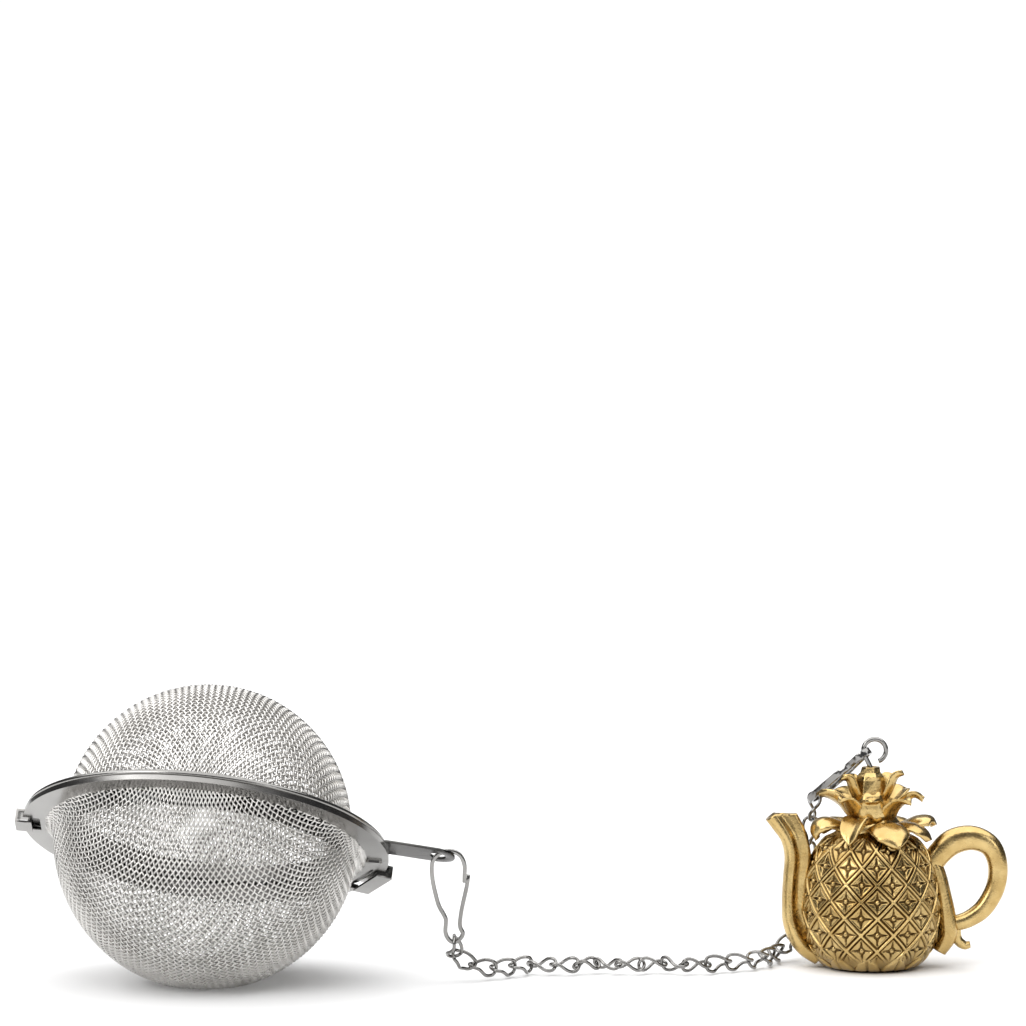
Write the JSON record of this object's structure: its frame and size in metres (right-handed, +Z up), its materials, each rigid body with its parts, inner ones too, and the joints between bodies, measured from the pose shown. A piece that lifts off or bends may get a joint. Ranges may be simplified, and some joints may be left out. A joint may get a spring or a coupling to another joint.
{
  "type": "tea infuser",
  "caption": "Twist-lock mesh tea ball with a handle strip, a snap clip, a link chain and a pineapple teapot charm on a second clip",
  "frame": {"origin": "centre of the footprint of the whole set, on the table plane", "axes": "+Z up, +X from the tea ball towards the charm, -Y towards the viewer of the picture"},
  "size_m": [0.163, 0.057, 0.0485],
  "materials": {
    "mesh": "bright woven wire",
    "ring_steel": "polished pressed sheet",
    "wire_steel": "bright plated wire",
    "gold": "antique gold plating, semi-gloss, dark in the recesses"
  },
  "bodies": {
    "lower_half": {"lower_basket": "mesh", "lower_rim": "ring_steel", "lower_collar": "ring_steel"},
    "upper_collar": {"upper_collar": "ring_steel"},
    "upper_half": {"upper_rim": "ring_steel", "upper_basket": "mesh", "handle_strip": "ring_steel"},
    "clip_1": {"clip_1": "wire_steel"},
    "link_01": {"link_01": "wire_steel"},
    "link_02": {"link_02": "wire_steel"},
    "link_03": {"link_03": "wire_steel"},
    "link_04": {"link_04": "wire_steel"},
    "link_05": {"link_05": "wire_steel"},
    "link_06": {"link_06": "wire_steel"},
    "link_07": {"link_07": "wire_steel"},
    "link_08": {"link_08": "wire_steel"},
    "link_09": {"link_09": "wire_steel"},
    "link_10": {"link_10": "wire_steel"},
    "link_11": {"link_11": "wire_steel"},
    "link_12": {"link_12": "wire_steel"},
    "link_13": {"link_13": "wire_steel"},
    "link_14": {"link_14": "wire_steel"},
    "link_15": {"link_15": "wire_steel"},
    "link_16": {"link_16": "wire_steel"},
    "link_17": {"link_17": "wire_steel"},
    "link_18": {"link_18": "wire_steel"},
    "link_19": {"link_19": "wire_steel"},
    "link_20": {"link_20": "wire_steel"},
    "link_21": {"link_21": "wire_steel"},
    "link_22": {"link_22": "wire_steel"},
    "link_23": {"link_23": "wire_steel"},
    "link_24": {"link_24": "wire_steel"},
    "link_25": {"link_25": "wire_steel"},
    "clip_2": {"clip_2": "wire_steel"},
    "charm": {"charm_body": "gold", "screw_eye": "wire_steel"}
  },
  "joints": [
    {"name": "lift_off", "type": "slide", "parent": "lower_half", "child": "upper_collar", "axis": [0.0976, 0.4289, 0.8981], "range_m": [0, 0.04]},
    {"name": "twist_lock", "type": "hinge", "parent": "upper_collar", "child": "upper_half", "pos_m": [-0.05055, -0.0012, 0.0238], "axis": [0.0976, 0.4289, 0.8981], "range_deg": [-10, 0]},
    {"name": "clip_1_swing", "type": "hinge", "parent": "upper_half", "child": "clip_1", "pos_m": [-0.01097, -0.00323, 0.02089], "axis": [0, -1, 0], "range_deg": [-15, 15]},
    {"name": "link_01_swing", "type": "hinge", "parent": "clip_1", "child": "link_01", "pos_m": [-0.01031, -0.00323, 0.00706], "axis": [1, 0, 0], "range_deg": [-35, 35]},
    {"name": "link_02_swing", "type": "hinge", "parent": "link_01", "child": "link_02", "pos_m": [-0.01032, -0.00051, 0.00432], "axis": [0.983, 0.1237, 0.1356], "range_deg": [-35, 35]},
    {"name": "link_03_swing", "type": "hinge", "parent": "link_02", "child": "link_03", "pos_m": [-0.00786, 0.00099, 0.00261], "axis": [0.3566, -0.914, -0.1936], "range_deg": [-35, 35]},
    {"name": "link_04_swing", "type": "hinge", "parent": "link_03", "child": "link_04", "pos_m": [-0.00361, 0.00284, 0.00171], "axis": [-0.1851, -0.0544, -0.9812], "range_deg": [-35, 35]},
    {"name": "link_05_swing", "type": "hinge", "parent": "link_04", "child": "link_05", "pos_m": [-0.00103, 0.00491, 0.00176], "axis": [-0.7091, 0.6968, 0.1076], "range_deg": [-35, 35]},
    {"name": "link_06_swing", "type": "hinge", "parent": "link_05", "child": "link_06", "pos_m": [0.00228, 0.00828, 0.00175], "axis": [-0.0472, 0.0472, 0.9978], "range_deg": [-35, 35]},
    {"name": "link_07_swing", "type": "hinge", "parent": "link_06", "child": "link_07", "pos_m": [0.00531, 0.00726, 0.00175], "axis": [-0.0153, -0.9514, 0.3075], "range_deg": [-35, 35]},
    {"name": "link_08_swing", "type": "hinge", "parent": "link_07", "child": "link_08", "pos_m": [0.01003, 0.00718, 0.00175], "axis": [-0.0067, -0.468, -0.8837], "range_deg": [-35, 35]},
    {"name": "link_09_swing", "type": "hinge", "parent": "link_08", "child": "link_09", "pos_m": [0.01259, 0.00946, 0.00175], "axis": [0.3065, 0.6336, -0.7104], "range_deg": [-35, 35]},
    {"name": "link_10_swing", "type": "hinge", "parent": "link_09", "child": "link_10", "pos_m": [0.01684, 0.0074, 0.00175], "axis": [0.3579, 0.7398, 0.5697], "range_deg": [-35, 35]},
    {"name": "link_11_swing", "type": "hinge", "parent": "link_10", "child": "link_11", "pos_m": [0.01982, 0.00766, 0.00175], "axis": [0.124, -0.3909, 0.9121], "range_deg": [-35, 35]},
    {"name": "link_12_swing", "type": "hinge", "parent": "link_11", "child": "link_12", "pos_m": [0.02432, 0.00909, 0.00175], "axis": [0.2929, -0.9241, -0.2455], "range_deg": [-35, 35]},
    {"name": "link_13_swing", "type": "hinge", "parent": "link_12", "child": "link_13", "pos_m": [0.02694, 0.00682, 0.00175], "axis": [-0.0982, 0.4339, -0.8956], "range_deg": [-35, 35]},
    {"name": "link_14_swing", "type": "hinge", "parent": "link_13", "child": "link_14", "pos_m": [0.03154, 0.00787, 0.00175], "axis": [-0.2133, 0.9352, 0.2825], "range_deg": [-35, 35]},
    {"name": "link_15_swing", "type": "hinge", "parent": "link_14", "child": "link_15", "pos_m": [0.03428, 0.00961, 0.00174], "axis": [-0.0627, 0.1286, 0.9897], "range_deg": [-35, 35]},
    {"name": "link_16_swing", "type": "hinge", "parent": "link_15", "child": "link_16", "pos_m": [0.03855, 0.01161, 0.00175], "axis": [0.4029, -0.8601, 0.3128], "range_deg": [-20, 20]},
    {"name": "link_17_swing", "type": "hinge", "parent": "link_16", "child": "link_17", "pos_m": [0.04067, 0.01419, 0.0018], "axis": [0.7583, -0.3585, -0.5444], "range_deg": [-20, 20]},
    {"name": "link_18_swing", "type": "hinge", "parent": "link_17", "child": "link_18", "pos_m": [0.0426, 0.0185, 0.00166], "axis": [-0.3681, 0.1342, -0.92], "range_deg": [-20, 20]},
    {"name": "link_19_swing", "type": "hinge", "parent": "link_18", "child": "link_19", "pos_m": [0.04385, 0.02157, 0.00174], "axis": [-0.8593, 0.4028, 0.3152], "range_deg": [-20, 20]},
    {"name": "link_20_swing", "type": "hinge", "parent": "link_19", "child": "link_20", "pos_m": [0.04625, 0.025, 0.00391], "axis": [-0.1065, -0.4782, 0.8718], "range_deg": [-15, 12]},
    {"name": "link_21_swing", "type": "hinge", "parent": "link_20", "child": "link_21", "pos_m": [0.04712, 0.02504, 0.00716], "axis": [0.8106, -0.5734, -0.1189], "range_deg": [-15, 15]},
    {"name": "link_22_swing", "type": "hinge", "parent": "link_21", "child": "link_22", "pos_m": [0.04776, 0.02496, 0.01184], "axis": [0.7021, 0.7071, -0.0838], "range_deg": [-10, 10]},
    {"name": "link_23_swing", "type": "hinge", "parent": "link_22", "child": "link_23", "pos_m": [0.04823, 0.02491, 0.01533], "axis": [-0.2063, 0.9775, 0.0435], "range_deg": [-6, 8]},
    {"name": "link_24_swing", "type": "hinge", "parent": "link_23", "child": "link_24", "pos_m": [0.04886, 0.02483, 0.02], "axis": [-0.9904, -0.0373, 0.1335], "range_deg": [-6, 10]},
    {"name": "link_25_swing", "type": "hinge", "parent": "link_24", "child": "link_25", "pos_m": [0.04933, 0.02478, 0.02349], "axis": [-0.4687, -0.882, 0.0494], "range_deg": [-2.5, 12]},
    {"name": "clip_2_swing", "type": "hinge", "parent": "link_25", "child": "clip_2", "pos_m": [0.04988, 0.02477, 0.02723], "axis": [0.6469, 0.7305, 0.219], "range_deg": [-20, 0]},
    {"name": "eye_swing", "type": "hinge", "parent": "clip_2", "child": "charm", "pos_m": [0.05748, 0.0168, 0.03546], "axis": [-0.342, 0, 0.9397], "range_deg": [-6, 15]}
  ]
}
